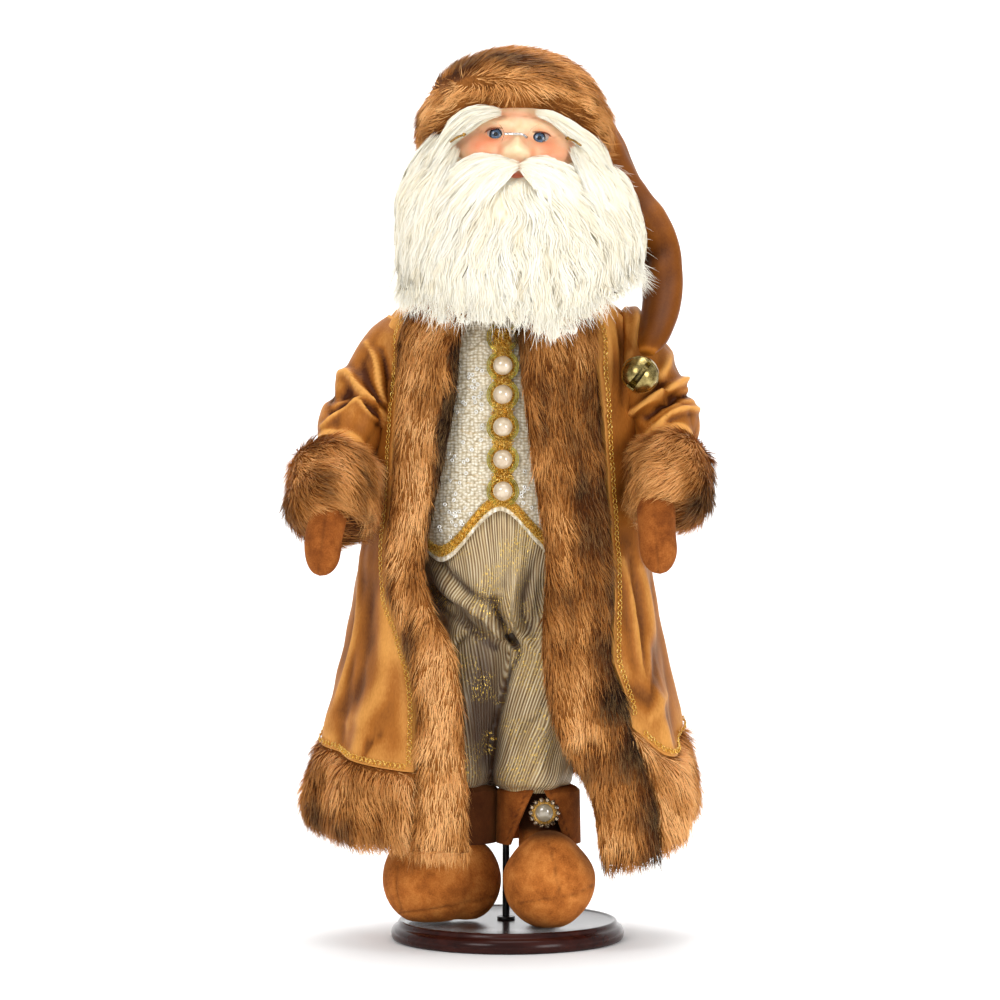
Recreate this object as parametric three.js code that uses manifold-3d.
// Dressed Santa doll on a round display stand.
// Millimetres, +Z up. The doll faces -Y, and +X is its own left side.
// The origin is the centre of the underside of the stand's base.
import * as THREE from 'three';
import { mergeVertices } from 'three/addons/utils/BufferGeometryUtils.js';
import Module from 'manifold-3d';

const wasm = await Module();
wasm.setup();

// Driving dimensions of the stand
const BASE_RADIUS = 77.5;
const BASE_HEIGHT = 13;
const BASE_RING_RADIUS = 73;
const BASE_FLOOR = BASE_HEIGHT - 1;
const BASE_SEGMENTS = 24;
const ROD_RADIUS = 2.4;
const ROD_X = -1;
const ROD_Y = 5;
const ROD_TOP = 215;
const ROD_SIDES = 10;
const WASHER_RADIUS = 6;
const WASHER_HEIGHT = 1.6;

// Gap that keeps two touching pieces apart
const GAP = 0.3;

// Driving dimensions of the doll
const HAT_TOP = 597;
const HAT_CENTRE = [5, 2];
const HEAD_CENTRE = [6, 2, 512];
const HEAD_RADII = [58, 55, 60];
const HEAD_ROLL = 4.5;
const NECK_TOP = 452;
const COAT_TOP = 432;
const VEST_BOTTOM = 258;
const TROUSERS_TOP = 298;
const TROUSERS_HEM = 100;
const VELVET_THICKNESS = 3.6;
const FUR_THICKNESS = 15;
const FUR_EDGE_THICKNESS = 6;
const BRAID_WIDTH = 4;
const BRAID_HEIGHT = 2;
const BRAID_OUT = 3.4;

// Coat outline at each height: half widths to the doll's right and left, half depths to front and back
const COAT_RIGHT = knots([[50, 128], [95, 130], [135, 120], [190, 107], [240, 98], [300, 91], [350, 87],
  [400, 82], [418, 72], [COAT_TOP, 50]]);
const COAT_LEFT = knots([[50, 121], [95, 123], [135, 115], [190, 103], [240, 95], [300, 90], [350, 87],
  [400, 83], [418, 73], [COAT_TOP, 52]]);
const COAT_FRONT = knots([[50, 80], [95, 79], [135, 77], [190, 70], [240, 64], [300, 60], [350, 57],
  [400, 53], [418, 48], [COAT_TOP, 38]]);
const COAT_BACK = knots([[50, 96], [95, 95], [135, 90], [190, 80], [240, 72], [300, 66], [350, 62],
  [400, 57], [418, 50], [COAT_TOP, 40]]);

// Sideways place of each front edge and of each seam between fur and velvet, at each height
const EDGE_RIGHT = knots([[50, 22], [99, 24], [126, 26], [151, 28], [176, 32], [202, 40], [227, 50],
  [260, 54], [292, 49], [324, 44], [357, 39], [389, 33], [410, 33]]);
const SEAM_RIGHT = knots([[50, 67], [99, 64], [151, 60], [176, 63], [202, 68], [227, 72], [260, 72],
  [292, 69.5], [357, 69], [410, 68]]);
const EDGE_LEFT = knots([[50, 62], [67, 58], [99, 53], [125, 39], [138, 31], [163, 24], [188, 20],
  [215, 20], [240, 22], [266, 21], [305, 15], [344, 10], [376, 6], [410, 3]]);
const SEAM_LEFT = knots([[50, 99], [99, 93], [142, 79], [163, 75], [188, 67], [240, 67], [305, 63],
  [376, 58], [410, 55]]);
const TRIM_TOP = 408;

// Height of the seam above the hem fur and of the hem's lower edge, round the coat in degrees from the front
const HEM_SEAM = knots([[0, 116], [30, 116], [60, 124], [90, 131], [130, 150], [180, 162], [230, 160],
  [270, 134], [300, 124], [320, 148], [360, 150]]);
const HEM_BOTTOM = knots([[0, 57], [20, 57], [40, 58], [60, 60], [90, 67], [130, 84], [180, 94], [230, 90],
  [270, 67], [300, 57], [320, 49], [345, 48], [360, 48]]);

// Materials of the sub-parts
const MATERIALS = {
  mahogany: material(0x3a1c18, 0.25, 0),
  blackMetal: material(0x141414, 0.4, 0.8),
  suede: material(0xb4692f, 0.95, 0),
  velvet: material(0xb8792c, 0.7, 0),
  hatVelvet: material(0x8a5424, 0.7, 0),
  fur: material(0xa8713c, 0.95, 0),
  wool: material(0xf2eddc, 0.9, 0),
  skin: material(0xe8b698, 0.6, 0),
  eye: material(0x5a7488, 0.2, 0),
  tweed: material(0xe6dfcc, 0.85, 0),
  crinkle: material(0xb9a986, 0.6, 0),
  gold: material(0xc99a3c, 0.35, 0.9),
  pearl: material(0xf0e4cc, 0.2, 0),
  brass: material(0x6e6238, 0.35, 0.9),
  silver: material(0xd8d8d8, 0.2, 0.9),
  glass: material(0xf4f8fa, 0.05, 0),
};

function material(color, roughness, metalness) {
  return new THREE.MeshStandardMaterial({ color, roughness, metalness });
}

// Smooth function of one number through a short list of [place, value] pairs
function knots(pairs) {
  const slope = (i) => {
    const low = pairs[Math.max(i - 1, 0)];
    const high = pairs[Math.min(i + 1, pairs.length - 1)];
    return (high[1] - low[1]) / (high[0] - low[0]);
  };
  return (place) => {
    const last = pairs.length - 1;
    if (place <= pairs[0][0]) return pairs[0][1];
    if (place >= pairs[last][0]) return pairs[last][1];
    let i = 0;
    while (pairs[i + 1][0] < place) i += 1;
    const width = pairs[i + 1][0] - pairs[i][0];
    const t = (place - pairs[i][0]) / width;
    const start = (1 + 2 * t) * (1 - t) ** 2;
    const leave = t * (1 - t) ** 2;
    const end = t * t * (3 - 2 * t);
    const arrive = t * t * (t - 1);
    return start * pairs[i][1] + leave * width * slope(i) + end * pairs[i + 1][1]
      + arrive * width * slope(i + 1);
  };
}

const radians = THREE.MathUtils.degToRad;
const mix = THREE.MathUtils.lerp;
const point = (x, y, z) => new THREE.Vector3(x, y, z);

// Closed geometry from points and triangles, with its faces turned outwards
function closedGeometry(points, triangles) {
  let volume = 0;
  for (const [a, b, c] of triangles) {
    volume += points[a].dot(points[b].clone().cross(points[c]));
  }
  const index = triangles.flatMap(([a, b, c]) => (volume > 0 ? [a, b, c] : [a, c, b]));
  const geometry = new THREE.BufferGeometry();
  const numbers = points.flatMap((p) => [p.x, p.y, p.z]);
  geometry.setAttribute('position', new THREE.Float32BufferAttribute(numbers, 3));
  geometry.setIndex(index);
  return geometry;
}

// Skin over a stack of rings with equal numbers of points, closed by a fan at each end
function loft(rings) {
  const sides = rings[0].length;
  const points = rings.flat();
  const triangles = [];
  for (let r = 0; r + 1 < rings.length; r += 1) {
    for (let s = 0; s < sides; s += 1) {
      const a = r * sides + s;
      const b = r * sides + ((s + 1) % sides);
      triangles.push([a, b, b + sides], [a, b + sides, a + sides]);
    }
  }
  const last = (rings.length - 1) * sides;
  for (const [start, flip] of [[0, true], [last, false]]) {
    const ring = points.slice(start, start + sides);
    const middle = ring.reduce((sum, p) => sum.add(p), point(0, 0, 0)).divideScalar(sides);
    const centre = points.push(middle) - 1;
    for (let s = 0; s < sides; s += 1) {
      const a = start + s;
      const b = start + ((s + 1) % sides);
      triangles.push(flip ? [b, a, centre] : [a, b, centre]);
    }
  }
  return closedGeometry(points, triangles);
}

// Sheet with two faces and a closed rim. outer and inner give a point for u and v from 0 to 1
function sheetSolid(across, along, outer, inner) {
  const points = [];
  const face = (where) => {
    const start = points.length;
    for (let j = 0; j <= along; j += 1) {
      for (let i = 0; i <= across; i += 1) points.push(where(i / across, j / along));
    }
    return (i, j) => start + j * (across + 1) + i;
  };
  const top = face(outer);
  const under = face(inner);
  const triangles = [];
  const quad = (a, b, c, d) => triangles.push([a, b, c], [a, c, d]);
  for (let j = 0; j < along; j += 1) {
    for (let i = 0; i < across; i += 1) {
      quad(top(i, j), top(i + 1, j), top(i + 1, j + 1), top(i, j + 1));
      quad(under(i, j), under(i, j + 1), under(i + 1, j + 1), under(i + 1, j));
    }
  }
  for (let i = 0; i < across; i += 1) {
    quad(top(i + 1, 0), top(i, 0), under(i, 0), under(i + 1, 0));
    quad(top(i, along), top(i + 1, along), under(i + 1, along), under(i, along));
  }
  for (let j = 0; j < along; j += 1) {
    quad(top(0, j), top(0, j + 1), under(0, j + 1), under(0, j));
    quad(top(across, j + 1), top(across, j), under(across, j), under(across, j + 1));
  }
  return closedGeometry(points, triangles);
}

// Oval ring of points across a direction, with wide and deep as its half sizes
function ovalRing(centre, direction, side, wide, deep, sides, bump = () => 1) {
  const forward = direction.clone().normalize();
  const across = side.clone().addScaledVector(forward, -side.dot(forward)).normalize();
  const upward = new THREE.Vector3().crossVectors(forward, across);
  const ring = [];
  for (let s = 0; s < sides; s += 1) {
    const angle = (2 * Math.PI * s) / sides;
    const size = bump(angle);
    ring.push(centre.clone()
      .addScaledVector(across, wide * size * Math.cos(angle))
      .addScaledVector(upward, deep * size * Math.sin(angle)));
  }
  return ring;
}

// Steps that lie closer together near both ends
function closer(share) {
  return mix(share, (1 - Math.cos(Math.PI * share)) / 2, 0.75);
}

// Stuffed limb: rings along a smooth path, with half sizes given by functions of the way along it
function limb(path, steps, sides, wide, deep, bump = () => () => 1, side = point(1, 0, 0)) {
  const curve = new THREE.CatmullRomCurve3(path.map((p) => point(...p)));
  const rings = [];
  for (let i = 0; i <= steps; i += 1) {
    const t = closer(i / steps);
    rings.push(ovalRing(curve.getPoint(t), curve.getTangent(t), side, wide(t), deep(t), sides, bump(t)));
  }
  return loft(rings);
}

// Half size along a stuffed limb that closes in a round at both ends
function rounded(size, endShare) {
  return (t) => {
    const nearest = Math.min(t, 1 - t) / endShare;
    const share = nearest >= 1 ? 1 : Math.sqrt(Math.max(1 - (1 - nearest) ** 2, 0.06));
    return size * share;
  };
}

function ball(radius, around, down) {
  return new THREE.SphereGeometry(radius, around, down);
}

function shifted(geometry, x, y, z) {
  return geometry.translate(x, y, z);
}

function toSolid(geometry) {
  const bare = geometry.clone();
  bare.deleteAttribute('normal');
  bare.deleteAttribute('uv');
  const joined = mergeVertices(bare, 0.0001);
  return new wasm.Manifold(new wasm.Mesh({
    numProp: 3,
    vertProperties: joined.attributes.position.array,
    triVerts: new Uint32Array(joined.index.array),
  }));
}

function toGeometry(solid) {
  const mesh = solid.getMesh();
  const geometry = new THREE.BufferGeometry();
  geometry.setAttribute('position', new THREE.BufferAttribute(new Float32Array(mesh.vertProperties), 3));
  geometry.setIndex(new THREE.BufferAttribute(new Uint32Array(mesh.triVerts), 1));
  return geometry;
}

// Stand: turned base with a flat top inside a raised ring, a rod and its washer
function base() {
  const rim = BASE_RADIUS;
  const ring = BASE_RING_RADIUS;
  const profile = [
    [0, 0], [rim - 2, 0], [rim, 3], [rim, 6], [rim - 2, 9], [ring + 0.6, 10.2],
    [ring - 1, BASE_HEIGHT], [ring - 3.4, BASE_FLOOR], [0, BASE_FLOOR],
  ];
  const geometry = new THREE.LatheGeometry(profile.map(([r, z]) => new THREE.Vector2(r, z)), BASE_SEGMENTS);
  return geometry.rotateX(Math.PI / 2);
}

function uprightCylinder(radius, low, high, sides) {
  const geometry = new THREE.CylinderGeometry(radius, radius, high - low, sides);
  return geometry.rotateX(Math.PI / 2).translate(ROD_X, ROD_Y, (low + high) / 2);
}

function standRod() {
  return uprightCylinder(ROD_RADIUS, BASE_FLOOR + GAP, ROD_TOP, ROD_SIDES);
}

function rodWasher() {
  const inside = ROD_RADIUS + GAP;
  const low = BASE_FLOOR + GAP;
  const high = low + WASHER_HEIGHT;
  const profile = [[inside, low], [WASHER_RADIUS, low], [WASHER_RADIUS, high], [inside, high], [inside, low]];
  const geometry = new THREE.LatheGeometry(profile.map(([r, z]) => new THREE.Vector2(r, z)), 12);
  return geometry.rotateX(Math.PI / 2).translate(ROD_X, ROD_Y, 0);
}

// Boots: a stuffed round foot that runs up into a narrower shaft
const BOOTS = {
  left: { toe: [27, -38, 44], heel: [24, -8, 40], ankle: [22, -8, 66], top: [22, -8, 110], facing: 0 },
  right: { toe: [-53, -7, 41], heel: [-32, -3, 40], ankle: [-35, -2, 66], top: [-35, -2, 110], facing: 80 },
};
const FOOT_RADII = [30.5, 32.5, 32];
const HEEL_RADII = [20, 22, 28];
const SHAFT_RADIUS = 17;

function softBall(centre, radii, turn, around, down) {
  const geometry = ball(1, around, down).rotateX(Math.PI / 2);
  geometry.scale(radii[0], radii[1], radii[2]);
  geometry.rotateZ(-radians(turn));
  return shifted(geometry, ...centre);
}

// A block that cuts the stuffed feet flat where they stand on the base
const BLOCK_SIZE = 200;
const BLOCK_HEIGHT = 60;
const FOOT_BOTTOM = BASE_HEIGHT + GAP;

function belowFeet() {
  const block = new THREE.BoxGeometry(BLOCK_SIZE, BLOCK_SIZE, BLOCK_HEIGHT);
  return toSolid(shifted(block, 0, 0, FOOT_BOTTOM - BLOCK_HEIGHT / 2));
}

function bootSolid(side, clearance = 0) {
  const { toe, heel, ankle, top, facing } = BOOTS[side];
  const foot = toSolid(softBall(toe, FOOT_RADII.map((radius) => radius + clearance), facing, 10, 7));
  const back = toSolid(softBall(heel, HEEL_RADII.map((radius) => radius + clearance), facing, 8, 6));
  const radius = () => SHAFT_RADIUS + clearance;
  const end = [top[0], top[1], top[2] + clearance];
  return foot.add(back).add(toSolid(limb([ankle, end], 1, 10, radius, radius)));
}

// Bore for the rod through the pieces round it
function rodRoom() {
  return toSolid(uprightCylinder(ROD_RADIUS + GAP, 0, ROD_TOP + GAP, ROD_SIDES));
}

function boot(side) {
  return toGeometry(bootSolid(side).subtract(belowFeet()).subtract(rodRoom()));
}

// Turned-down boot cuff: a flared band, open in a wedge above the toe
const CUFF_HEIGHT = 39;
const CUFF_WALL = 3;
const CUFF_OPENING = 52;
const CUFF_TOP_Z = 104;
const CUFF_FLARE = 7.5;

function bootCuff(side) {
  const { top, facing } = BOOTS[side];
  const place = (out, u, v) => {
    const half = mix(CUFF_OPENING * 0.35, CUFF_OPENING, v) / 2;
    const angle = radians(mix(half, 360 - half, u) + facing);
    const radius = mix(SHAFT_RADIUS + GAP, SHAFT_RADIUS + CUFF_FLARE, v) + out;
    const corner = Math.abs(2 * u - 1) ** 3;
    const low = CUFF_TOP_Z - CUFF_HEIGHT * mix(0.72, 1, corner) * v;
    return point(top[0] - radius * Math.sin(angle), top[1] - radius * Math.cos(angle), low);
  };
  const band = toSolid(sheetSolid(10, 1, (u, v) => place(CUFF_WALL, u, v), (u, v) => place(0, u, v)));
  return toGeometry(band.subtract(bootSolid(side, GAP)).subtract(rodRoom()));
}

// Round brooch in the wedge of the boot cuff: a setting with a ring of small stones, and a cabochon
const BROOCH_RADIUS = 8.2;
const BROOCH_HALF_THICKNESS = 0.8;
const STONE_RADIUS = 1.7;
const STONE_COUNT = 14;
const BROOCH_REACH = 25.6;
const BROOCH_Z = 87;
const CABOCHON_RADIUS = 6;
const CABOCHON_HEIGHT = 4;

function placeOnBoot(geometry, side) {
  const { top, facing } = BOOTS[side];
  geometry.rotateX(Math.PI / 2).rotateX(radians(-10)).translate(0, -BROOCH_REACH, 0);
  return shifted(geometry.rotateZ(-radians(facing)), top[0], top[1], BROOCH_Z);
}

function broochSetting(side) {
  const lobe = (angle) => 1 + (STONE_RADIUS / BROOCH_RADIUS) * (0.5 + 0.5 * Math.cos(STONE_COUNT * angle));
  const lobed = (height) => ovalRing(point(0, 0, height), point(0, 0, 1), point(1, 0, 0),
    BROOCH_RADIUS, BROOCH_RADIUS, STONE_COUNT * 2, lobe);
  return placeOnBoot(loft([lobed(-BROOCH_HALF_THICKNESS), lobed(BROOCH_HALF_THICKNESS)]), side);
}

function broochCabochon(side) {
  const low = BROOCH_HALF_THICKNESS + GAP;
  const dome = [0, 25, 50, 75].map((degrees) => [
    CABOCHON_RADIUS * Math.cos(radians(degrees)), low + CABOCHON_HEIGHT * Math.sin(radians(degrees))]);
  const profile = [[0, low], ...dome, [0, low + CABOCHON_HEIGHT]];
  const geometry = new THREE.LatheGeometry(profile.map(([r, z]) => new THREE.Vector2(r, z)), 10);
  return placeOnBoot(geometry.rotateX(Math.PI / 2), side);
}

// Trousers: a full seat and two blousing legs, bored for the rod
const LEGS = {
  left: [[20, -4, 236], [23, -8, 200], [25, -12, 150], [23, -9, 118], [22, -8, TROUSERS_HEM + GAP]],
  right: [[-20, -2, 236], [-22, -5, 200], [-26, -8, 150], [-30, -4, 118], [-33, -2, TROUSERS_HEM + GAP]],
};
const LEG_WIDE = knots([[0, 24], [0.3, 28], [0.62, 27], [0.85, 26], [1, 23]]);
const CUFF_ROOM = 3;
const LEG_DEEP = knots([[0, 34], [0.3, 36], [0.62, 31], [0.85, 28], [1, 24]]);

function pleats(count, depth, turn) {
  return (angle) => 1 + depth * Math.cos(count * angle + turn);
}

function trousers() {
  const rings = [];
  const seat = [[TROUSERS_TOP, 56, 43], [245, 55, 45], [222, 52, 46], [200, 36, 38]];
  for (const [z, wide, deep] of seat) {
    const fold = pleats(5, 0.03, 1);
    rings.push(ovalRing(point(0, -2, z), point(0, 0, -1), point(1, 0, 0), wide, deep, 10, fold));
  }
  let whole = toSolid(loft(rings));
  for (const side of ['left', 'right']) {
    const bump = (t) => pleats(7, 0.03 + 0.03 * t, 2 + 3 * t);
    whole = whole.add(toSolid(limb(LEGS[side], 4, 9, LEG_WIDE, LEG_DEEP, bump)));
    const { top } = BOOTS[side];
    const room = () => SHAFT_RADIUS + CUFF_WALL + CUFF_ROOM;
    const low = [top[0], top[1], CUFF_TOP_Z - CUFF_HEIGHT];
    const high = [top[0], top[1], CUFF_TOP_Z + GAP];
    whole = whole.subtract(bootSolid(side, GAP)).subtract(toSolid(limb([low, high], 1, 12, room, room)));
  }
  return toGeometry(whole.subtract(rodRoom()).subtract(toSolid(vestBody(GAP))));
}

// Vest: a stuffed torso with a pointed front hem
const VEST_WIDE = knots([[VEST_BOTTOM - 30, 60], [VEST_BOTTOM, 61], [300, 62], [350, 60], [395, 54],
  [420, 40], [436, 26], [NECK_TOP, 24]]);
const VEST_DEEP = knots([[VEST_BOTTOM - 30, 47], [VEST_BOTTOM, 48], [300, 49], [350, 48], [395, 44],
  [420, 34], [436, 25], [NECK_TOP, 24]]);
const VEST_POINTS = knots([[-63, 274], [-42, 255], [-6, 288], [20, 266], [36, 250], [63, 272]]);
const VEST_CENTRE_Y = -1;

// Height of the vest's hem at a place across the front; at the back it runs level
function vestHem(angle) {
  const x = -VEST_WIDE(VEST_BOTTOM) * Math.sin(angle);
  return Math.cos(angle) > 0 ? VEST_POINTS(x) : 272;
}

function vestPoint(angle, z, out = 0) {
  const wide = VEST_WIDE(z) + out;
  const deep = VEST_DEEP(z) + out;
  return point(-wide * Math.sin(angle), VEST_CENTRE_Y - deep * Math.cos(angle), z);
}

function vestBody(clearance = 0) {
  const sides = 24;
  const rings = [];
  for (const share of [0, 0.35, 0.68, 0.83, 0.92, 1]) {
    const ring = [];
    for (let s = 0; s < sides; s += 1) {
      const angle = (2 * Math.PI * s) / sides;
      const z = mix(vestHem(angle) - clearance, NECK_TOP + clearance, share);
      ring.push(vestPoint(angle, z, clearance));
    }
    rings.push(ring);
  }
  return loft(rings);
}

// A flat strip that follows the front of the vest along its hem
function hemStrip(low, high, thickness) {
  const where = (out) => (u, v) => {
    const angle = radians(mix(66, -66, u));
    return vestPoint(angle, vestHem(angle) + mix(low, high, v), GAP + out);
  };
  return sheetSolid(16, 1, where(thickness), where(0));
}

// Button band: a gold strip down the front of the vest, with a round eye behind each pearl
const BAND_X = -3.2;
const BAND_HALF = 7.2;
const BAND_TOP = 404;
const BAND_BOTTOM = 297;
const BAND_OUT = 0.8;
const BAND_THICKNESS = 1.8;
const PEARL_HEIGHTS = [379.3, 360.4, 339.4, 318.3, 297.8];
const PEARL_RADIUS = 6.3;
const LOOP_RADIUS = 10.2;

function vestFront(x, z) {
  const across = Math.min(Math.abs(x) / VEST_WIDE(z), 1);
  return VEST_CENTRE_Y - VEST_DEEP(z) * Math.sqrt(1 - across * across);
}

function bandHalfWidth(z) {
  const reach = PEARL_HEIGHTS.map((height) => LOOP_RADIUS ** 2 - (z - height) ** 2);
  return Math.max(BAND_HALF, Math.sqrt(Math.max(...reach, 0)));
}

function buttonBand() {
  const where = (out) => (u, v) => {
    const z = mix(BAND_BOTTOM, BAND_TOP, v);
    const x = BAND_X + (2 * u - 1) * bandHalfWidth(z);
    return point(x, vestFront(x, z) - BAND_OUT - out, z);
  };
  return sheetSolid(1, 26, where(BAND_THICKNESS), where(0));
}

function pearl(height) {
  const y = vestFront(BAND_X, height) - BAND_OUT - BAND_THICKNESS - GAP - PEARL_RADIUS;
  return shifted(ball(PEARL_RADIUS, 8, 5).rotateX(Math.PI / 2), BAND_X, y, height);
}

// Coat: angle runs in degrees from the front centre round the doll's right, back and left
function foldDepth(angle, z) {
  const fullness = THREE.MathUtils.smoothstep(330 - z, 0, 250);
  const back = 0.45 + 0.55 * (1 - Math.cos(radians(angle))) / 2;
  const wave = Math.cos(radians(7 * angle + 40)) + 0.45 * Math.cos(radians(12 * angle + 100));
  return 5.5 * fullness * back * wave;
}

function coatPoint(angle, z, out) {
  const turn = radians(angle);
  const wide = Math.sin(turn) > 0 ? COAT_RIGHT(z) : COAT_LEFT(z);
  const deep = Math.cos(turn) > 0 ? COAT_FRONT(z) : COAT_BACK(z);
  const reach = out + foldDepth(angle, z);
  return point(-(wide + reach) * Math.sin(turn), -(deep + reach) * Math.cos(turn), z);
}

// Angles at one height where a front edge or a seam lies
function rightAngle(sideways, z) {
  return THREE.MathUtils.radToDeg(Math.asin(Math.min(sideways / COAT_RIGHT(z), 0.97)));
}

function leftAngle(sideways, z) {
  return 360 - THREE.MathUtils.radToDeg(Math.asin(Math.min(sideways / COAT_LEFT(z), 0.97)));
}

// Angle and height of a point between the two seams, where the height itself depends on the angle
function behindTrims(u, clearance, heightAt) {
  let angle = mix(50, 310, u);
  let z = heightAt(angle);
  for (let pass = 0; pass < 6; pass += 1) {
    angle = mix(rightAngle(SEAM_RIGHT(z) + clearance, z), leftAngle(SEAM_LEFT(z) + clearance, z), u);
    z = heightAt(angle);
  }
  return [angle, z];
}

const COAT_ROWS = [0, 0.17, 0.31, 0.48, 0.7, 0.92, 1];

function coatShell() {
  const steps = COAT_ROWS.length - 1;
  const where = (out) => (u, v) => {
    const share = COAT_ROWS[Math.round(v * steps)];
    const [angle, z] = behindTrims(u, 2, (turn) => mix(HEM_SEAM(turn) + 1.4, COAT_TOP, share));
    return coatPoint(angle, z, out);
  };
  return toSolid(sheetSolid(24, steps, where(VELVET_THICKNESS / 2), where(-VELVET_THICKNESS / 2)));
}

// Arms: each sleeve bends at the elbow and ends in a thick fur cuff over a stuffed mitten
const ARMS = {
  right: {
    sleeve: [[-69, 4, 403], [-76, 3, 394], [-88, 0, 372], [-101, -10, 344], [-110, -26, 322]],
    cuff: [[-113, -20, 319], [-114.5, -42, 297], [-115, -61, 275]],
    cuffRadius: 28.5,
    mitten: [[-113, -54, 296], [-117, -66, 278], [-121, -74, 243]],
  },
  left: {
    sleeve: [[67, 4, 408], [77, 3, 399], [91, 0, 373], [103, -10, 346], [106, -26, 326]],
    cuff: [[106, -20, 324], [106, -42, 304], [105, -59, 284]],
    cuffRadius: 26,
    mitten: [[96, -54, 296], [96, -66, 278], [98, -72, 244]],
  },
};
const SLEEVE_WIDE = knots([[0, 18], [0.25, 22], [0.5, 23], [0.75, 23], [1, 19]]);
const SLEEVE_DEEP = knots([[0, 22], [0.25, 27], [0.5, 27], [0.75, 25], [1, 21]]);

function elbowFolds(t) {
  const strength = 0.16 * Math.sin(Math.PI * Math.min(Math.max((t - 0.35) / 0.6, 0), 1));
  return (angle) => 1 + strength * Math.cos(3 * angle + 9 * t);
}

function sleeve(side) {
  const across = side === 'left' ? point(1, 0, 0.3) : point(-1, 0, 0.3);
  return toSolid(limb(ARMS[side].sleeve, 5, 8, SLEEVE_WIDE, SLEEVE_DEEP, elbowFolds, across));
}

function coat() {
  const whole = coatShell().add(sleeve('right')).add(sleeve('left'));
  return toGeometry(whole.subtract(cuffSolid('right', GAP)).subtract(cuffSolid('left', GAP)));
}

// Fur is thick in the middle of a strip and thinner along its edges
function pile(share) {
  const middle = Math.sqrt(Math.max(1 - (2 * share - 1) ** 4, 0));
  return mix(FUR_EDGE_THICKNESS, FUR_THICKNESS, middle) / 2;
}

function frontTrim(side) {
  const right = side === 'right';
  const edge = right ? EDGE_RIGHT : EDGE_LEFT;
  const seam = right ? SEAM_RIGHT : SEAM_LEFT;
  const toAngle = right ? rightAngle : leftAngle;
  const where = (sign) => (u, v) => {
    let angle = right ? 30 : 330;
    let z = TRIM_TOP;
    for (let pass = 0; pass < 6; pass += 1) {
      z = mix(HEM_BOTTOM(angle), TRIM_TOP, v);
      angle = mix(toAngle(edge(z), z), toAngle(seam(z), z), u);
    }
    return coatPoint(angle, z, 1 + sign * pile(u) * Math.min(1, 0.6 + 4 * v));
  };
  return sheetSolid(4, 13, where(1), where(-1));
}

function hemFur() {
  const where = (sign) => (u, v) => {
    const [angle, z] = behindTrims(u, 1, (turn) => mix(HEM_BOTTOM(turn), HEM_SEAM(turn), v));
    return coatPoint(angle, z, 1 + sign * pile(v));
  };
  return sheetSolid(24, 3, where(1), where(-1));
}

function cuffSolid(side, clearance = 0) {
  const { cuff, cuffRadius } = ARMS[side];
  const size = (t) => rounded(cuffRadius, 0.35)(mix(0.06, 0.94, t)) + 6 + clearance;
  return toSolid(limb(cuff, 5, 11, size, (t) => size(t) * 1.06));
}

function mittenSolid(side, clearance = 0) {
  const size = (t) => rounded(12.2, 0.27)(t) + clearance;
  return toSolid(limb(ARMS[side].mitten, 6, 8, size, (t) => size(t) * 0.92));
}

function furCuff(side) {
  return toGeometry(cuffSolid(side).subtract(mittenSolid(side, GAP)));
}

function mitten(side) {
  return toGeometry(mittenSolid(side));
}

// Gold braids: narrow strips laid over the seams between fur and velvet
function frontBraid(side) {
  const right = side === 'right';
  const seam = right ? SEAM_RIGHT : SEAM_LEFT;
  const toAngle = right ? rightAngle : leftAngle;
  const low = right ? 122 : 154;
  const where = (out) => (u, v) => {
    const z = mix(low, TRIM_TOP - 6, v);
    const angle = toAngle(seam(z) + 1.5 + u * BRAID_WIDTH, z);
    return coatPoint(angle, z, BRAID_OUT + out);
  };
  return sheetSolid(1, 12, where(BRAID_HEIGHT), where(0));
}

function hemBraid() {
  const where = (out) => (u, v) => {
    const [angle, z] = behindTrims(u, 7, (turn) => HEM_SEAM(turn) + 2 + v * BRAID_WIDTH);
    return coatPoint(angle, z, BRAID_OUT + out);
  };
  return sheetSolid(24, 1, where(BRAID_HEIGHT), where(0));
}

// Head: a smooth ball with nose, cheeks and brow swelling out of its front
const EYES = { right: [-7.6, 530], left: [20.8, 527.5] };
const EYE_RADII = [5.6, 3, 3.4];
const FACE_CENTRE = [6.6, 528.8];
const SWELLINGS = [
  { x: 0, z: -10, wide: 7.5, high: 7, out: 9 },
  { x: -24, z: -9, wide: 11, high: 9, out: 4 },
  { x: 24, z: -9, wide: 11, high: 9, out: 4 },
  { x: 0, z: 13, wide: 24, high: 6, out: 2.5 },
  { x: -14.3, z: 0, wide: 7, high: 4, out: -2.5 },
  { x: 14.3, z: 0, wide: 7, high: 4, out: -2.5 },
];

function faceRelief(x, z) {
  const roll = radians(HEAD_ROLL);
  const dx = x - FACE_CENTRE[0];
  const dz = z - FACE_CENTRE[1];
  const across = dx * Math.cos(roll) - dz * Math.sin(roll);
  const up = dx * Math.sin(roll) + dz * Math.cos(roll);
  return SWELLINGS.reduce((sum, s) => {
    const far = ((across - s.x) / s.wide) ** 2 + ((up - s.z) / s.high) ** 2;
    return sum + s.out * Math.exp(-far);
  }, 0);
}

function headFront(x, z, out = 0) {
  const across = (x - HEAD_CENTRE[0]) / HEAD_RADII[0];
  const up = (z - HEAD_CENTRE[2]) / HEAD_RADII[2];
  return HEAD_CENTRE[1] - HEAD_RADII[1] * Math.sqrt(Math.max(1 - across ** 2 - up ** 2, 0))
    - faceRelief(x, z) - out;
}

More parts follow.
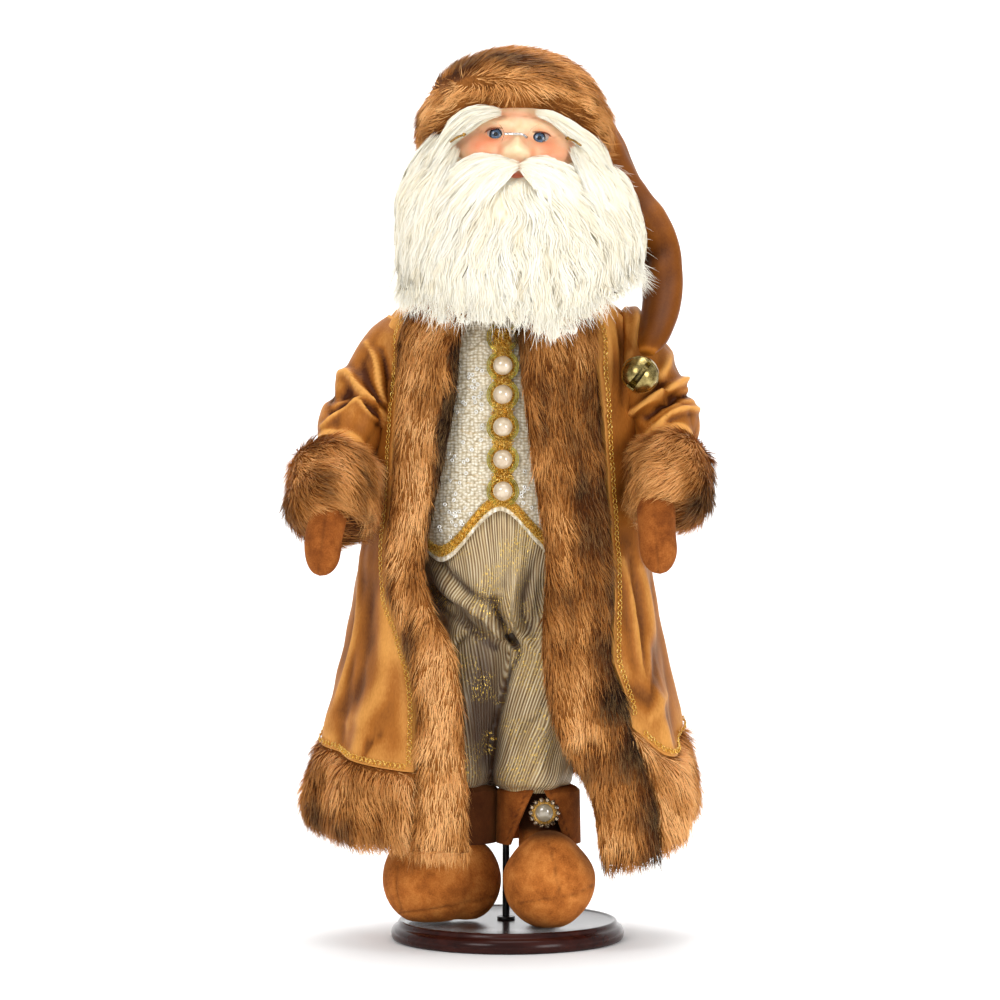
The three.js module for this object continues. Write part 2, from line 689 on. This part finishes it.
function headSolid(clearance = 0) {
  const geometry = ball(1, 13, 10).rotateX(Math.PI / 2);
  geometry.scale(...HEAD_RADII.map((radius) => radius + clearance));
  shifted(geometry, ...HEAD_CENTRE);
  const places = geometry.attributes.position;
  for (let i = 0; i < places.count; i += 1) {
    const front = places.getY(i) < HEAD_CENTRE[1] - 10;
    if (front) places.setY(i, places.getY(i) - faceRelief(places.getX(i), places.getZ(i)));
  }
  return toSolid(geometry).subtract(toSolid(vestBody(GAP)));
}

function eye(side, clearance = 0) {
  const [x, z] = EYES[side];
  const geometry = ball(1, 8, 6).rotateX(Math.PI / 2).scale(...EYE_RADII.map((radius) => radius + clearance));
  return shifted(geometry, x, headFront(x, z), z);
}

function head() {
  return toGeometry(headSolid().subtract(toSolid(eye('left', GAP))).subtract(toSolid(eye('right', GAP))));
}

// Spectacles: a bridge over the nose, two clear lenses and the front ends of two temples
const LENS_RADII = [13, 9.5];
const LENS_Y = -59;
const LENSES = { right: [-15.4, 529], left: [25.8, 526.6] };
const WIRE_RADIUS = 0.7;

function lens(side) {
  const [x, z] = LENSES[side];
  const geometry = new THREE.CylinderGeometry(1, 1, 0.8, 12).scale(LENS_RADII[0], 1, LENS_RADII[1]);
  return shifted(geometry, x, LENS_Y, z);
}

function wire(path, radius, steps) {
  return limb(path, steps, 6, () => radius, () => radius, undefined, point(0, 1, 0));
}

function bridge() {
  const left = LENSES.left;
  const right = LENSES.right;
  const reach = LENS_RADII[0] + GAP;
  const middle = headFront(...FACE_CENTRE, GAP + WIRE_RADIUS);
  const path = [
    [right[0] + reach, LENS_Y, right[1]],
    [FACE_CENTRE[0], middle, FACE_CENTRE[1]],
    [left[0] - reach, LENS_Y, left[1]],
  ];
  return wire(path, WIRE_RADIUS, 6);
}

function temple(side) {
  const way = side === 'left' ? 1 : -1;
  const [x, z] = LENSES[side];
  const start = x + way * (LENS_RADII[0] + GAP + 0.6);
  const path = [[start, LENS_Y, z - 0.5], [start + way * 4, -55, z - 1.5], [start + way * 8, -48, z - 3.4]];
  return wire(path, WIRE_RADIUS, 4);
}

// White wool: brows, moustache, beard, and hair behind the head
function brow(side) {
  const path = side === 'left'
    ? [[16, -58, 543], [30, -56, 540], [46, -46, 532], [60, -32, 521]]
    : [[2, -58, 545], [-16, -57, 543], [-34, -49, 536], [-48, -38, 526]];
  const size = (t) => rounded(4, 0.3)(t) + 1;
  return toGeometry(toSolid(limb(path, 6, 7, (t) => size(t) * 0.8, size, undefined, point(0, 1, 0)))
    .subtract(headSolid(GAP)));
}

const MOUSTACHE_PATH = [[-36, -58, 506], [-18, -68, 512], [2, -74, 507], [8, -75, 505], [14, -74, 506],
  [31, -68, 509], [48, -57, 498]];
const MOUSTACHE_SIZE = knots([[0, 2.5], [0.25, 7], [0.5, 4.5], [0.75, 7], [1, 2.5]]);

function moustacheSolid(clearance = 0) {
  const deep = (t) => MOUSTACHE_SIZE(t) * 0.7 + clearance;
  const high = (t) => MOUSTACHE_SIZE(t) + clearance;
  return toSolid(limb(MOUSTACHE_PATH, 12, 7, deep, high, undefined, point(0, 1, 0)));
}

function moustache() {
  return toGeometry(moustacheSolid().subtract(headSolid(GAP)));
}

const BEARD_TOP = 517;
const BEARD_LOW = knots([[-72, 424], [-50, 411], [-28, 405], [0, 401], [24, 389], [44, 403], [62, 414],
  [84, 430]]);
const BEARD_RIGHT = knots([[389, 60], [410, 70], [430, 76], [465, 79], [485, 79], [500, 74], [517, 66]]);
const BEARD_LEFT = knots([[389, 60], [410, 72], [430, 81], [455, 86], [475, 85], [500, 76], [517, 66]]);
const BEARD_FRONT = knots([[389, 73], [405, 79], [425, 83], [450, 85], [480, 79], [500, 70], [517, 52]]);
const BEARD_BACK = knots([[389, 67], [424, 66], [434, 48], [450, 22], [480, 0], [517, -2]]);

function beardSolid(clearance = 0) {
  const rings = [];
  const sides = 16;
  for (const share of [0, 0.08, 0.2, 0.38, 0.6, 0.8, 1]) {
    const ring = [];
    for (let s = 0; s < sides; s += 1) {
      const angle = (2 * Math.PI * s) / sides;
      const broad = Math.sin(angle) > 0 ? 74 : 86;
      const z = mix(BEARD_LOW(-broad * Math.sin(angle)), BEARD_TOP, share);
      const wide = (Math.sin(angle) > 0 ? BEARD_RIGHT(z) : BEARD_LEFT(z)) + clearance;
      const back = -BEARD_BACK(z);
      const front = -BEARD_FRONT(z) - clearance;
      const depth = Math.cos(angle) > 0 ? (back - front) : 4 + clearance;
      const shape = Math.sign(Math.sin(angle)) * Math.abs(Math.sin(angle)) ** 0.8;
      ring.push(point(4 - wide * shape, back - depth * Math.cos(angle), z));
    }
    rings.push(ring);
  }
  const hollow = limb([[7, -50, 526], [7, -62, 506]], 1, 10, () => 34, () => 16, undefined, point(1, 0, 0));
  return toSolid(loft(rings)).subtract(headSolid(GAP)).subtract(toSolid(hollow));
}

function beard() {
  return toGeometry(beardSolid().subtract(toSolid(vestBody(GAP))).subtract(moustacheSolid(GAP)));
}

// Hair: a thick crescent of wool round the back of the head, below the hat
const HAIR_CENTRE = [7, 10, 484];
const HAIR_RADII = [66, 61, 50];
const HAIR_BOTTOM = 442;
const HAIR_CLEARANCE = 1.5;
const NECK_ROOM = [33, 31];

function hair() {
  const place = (outside, u, v) => {
    const angle = mix(98, 262, u);
    const turn = radians(angle);
    const z = mix(HAIR_BOTTOM, HAT_RIM(Math.min(angle, 360 - angle)) - 2, v);
    const centre = outside ? HAIR_CENTRE : HEAD_CENTRE;
    const radii = outside ? HAIR_RADII : HEAD_RADII;
    const share = Math.sqrt(Math.max(1 - ((z - centre[2]) / radii[2]) ** 2, 0));
    const [wide, deep] = [0, 1].map((i) => (
      outside ? radii[i] * share : Math.max(radii[i] * share + HAIR_CLEARANCE, NECK_ROOM[i])));
    return point(centre[0] - wide * Math.sin(turn), centre[1] - deep * Math.cos(turn), z);
  };
  const crescent = toSolid(sheetSolid(10, 3, (u, v) => place(true, u, v), (u, v) => place(false, u, v)));
  return toGeometry(crescent.subtract(tailSolid(GAP)));
}

// Hat: a fur cap with a crease above its brim, and a velvet tail that hangs to a bell
const HAT_RADII = [69, 64];
const HAT_RIM = knots([[0, 551], [20, 550], [40, 542], [60, 532], [90, 519], [130, 506], [180, 500]]);
const HAT_SWELL = knots([[0, 0.93], [0.2, 1], [0.4, 0.97], [0.5, 0.91], [0.6, 0.87], [0.7, 0.79], [0.8, 0.69],
  [0.9, 0.5], [0.96, 0.33], [1, 0.1]]);

function hatSolid() {
  const rings = [];
  const sides = 14;
  for (const share of [0, 0.2, 0.4, 0.55, 0.7, 0.85, 0.95, 1]) {
    const ring = [];
    for (let s = 0; s < sides; s += 1) {
      const angle = (360 * s) / sides;
      const turn = radians(angle);
      const x = HAT_CENTRE[0] - HAT_RADII[0] * HAT_SWELL(share) * Math.sin(turn);
      const y = HAT_CENTRE[1] - HAT_RADII[1] * HAT_SWELL(share) * Math.cos(turn);
      ring.push(point(x, y, mix(HAT_RIM(Math.min(angle, 360 - angle)), HAT_TOP, share)));
    }
    rings.push(ring);
  }
  return toSolid(loft(rings)).subtract(headSolid(GAP));
}

function hatFur() {
  return toGeometry(hatSolid().subtract(tailSolid(GAP)));
}

const TAIL_PATH = [[-34, 26, 540], [4, 46, 552], [44, 50, 541], [74, 37, 501], [100, 14, 464],
  [103, -8, 430], [97, -32, 402], [91, -46, 388]];
const TAIL_SIZE = knots([[0, 8], [0.14, 31], [0.28, 29], [0.44, 20], [0.6, 15], [0.8, 12], [0.93, 9],
  [1, 5]]);

function tailSolid(clearance = 0) {
  const wide = (t) => TAIL_SIZE(t) + clearance;
  const deep = (t) => TAIL_SIZE(t) * 0.72 + clearance;
  return toSolid(limb(TAIL_PATH, 11, 8, wide, deep, undefined, point(1, 0, 0.4)));
}

function hatTail() {
  return toGeometry(tailSolid().subtract(headSolid(GAP)).subtract(beardSolid(GAP)));
}

// Jingle bell: a hollow ball with one slit
const BELL_CENTRE = [86, -50, 373.5];
const BELL_RADIUS = 12.4;
const BELL_WALL = 1.2;
const BELL_SLIT = 2.4;

function jingleBell() {
  const outside = toSolid(ball(BELL_RADIUS, 9, 6));
  const inside = toSolid(ball(BELL_RADIUS - BELL_WALL, 7, 4));
  const block = new THREE.BoxGeometry(BELL_SLIT, 3 * BELL_RADIUS, 2 * BELL_RADIUS);
  const slit = toSolid(shifted(block, 0, 0, -0.8 * BELL_RADIUS));
  const shell = toGeometry(outside.subtract(inside).subtract(slit));
  shell.rotateX(radians(-60)).rotateY(radians(38));
  return shifted(shell, ...BELL_CENTRE);
}

const doll = new THREE.Group();
doll.name = 'santa_doll';

function addPart(name, geometry, look) {
  const mesh = new THREE.Mesh(geometry, look);
  mesh.name = name;
  doll.add(mesh);
}

addPart('stand_base', base(), MATERIALS.mahogany);
addPart('stand_rod', standRod(), MATERIALS.blackMetal);
addPart('stand_washer', rodWasher(), MATERIALS.blackMetal);
for (const side of ['right', 'left']) {
  addPart(`boot_${side}`, boot(side), MATERIALS.suede);
  addPart(`boot_cuff_${side}`, bootCuff(side), MATERIALS.suede);
  addPart(`brooch_setting_${side}`, broochSetting(side), MATERIALS.silver);
  addPart(`brooch_stone_${side}`, broochCabochon(side), MATERIALS.pearl);
  addPart(`fur_trim_${side}`, frontTrim(side), MATERIALS.fur);
  addPart(`fur_cuff_${side}`, furCuff(side), MATERIALS.fur);
  addPart(`mitten_${side}`, mitten(side), MATERIALS.suede);
  addPart(`front_braid_${side}`, frontBraid(side), MATERIALS.gold);
  addPart(`eye_${side}`, eye(side), MATERIALS.eye);
  addPart(`brow_${side}`, brow(side), MATERIALS.wool);
  addPart(`spectacle_lens_${side}`, lens(side), MATERIALS.glass);
  addPart(`spectacle_temple_${side}`, temple(side), MATERIALS.gold);
}
addPart('trousers', trousers(), MATERIALS.crinkle);
addPart('vest', vestBody(), MATERIALS.tweed);
addPart('vest_hem_braid', hemStrip(0.5, 6.5, 1.6), MATERIALS.gold);
addPart('vest_hem_piping', hemStrip(-3.5, 0, 1.2), MATERIALS.tweed);
addPart('button_band', buttonBand(), MATERIALS.gold);
PEARL_HEIGHTS.forEach((height, i) => addPart(`pearl_button_${i + 1}`, pearl(height), MATERIALS.pearl));
addPart('coat', coat(), MATERIALS.velvet);
addPart('fur_hem', hemFur(), MATERIALS.fur);
addPart('hem_braid', hemBraid(), MATERIALS.gold);
addPart('head', head(), MATERIALS.skin);
addPart('spectacle_bridge', bridge(), MATERIALS.silver);
addPart('moustache', moustache(), MATERIALS.wool);
addPart('beard', beard(), MATERIALS.wool);
addPart('hair', hair(), MATERIALS.wool);
addPart('hat_fur', hatFur(), MATERIALS.fur);
addPart('hat_tail', hatTail(), MATERIALS.hatVelvet);
addPart('jingle_bell', jingleBell(), MATERIALS.brass);

export default doll;
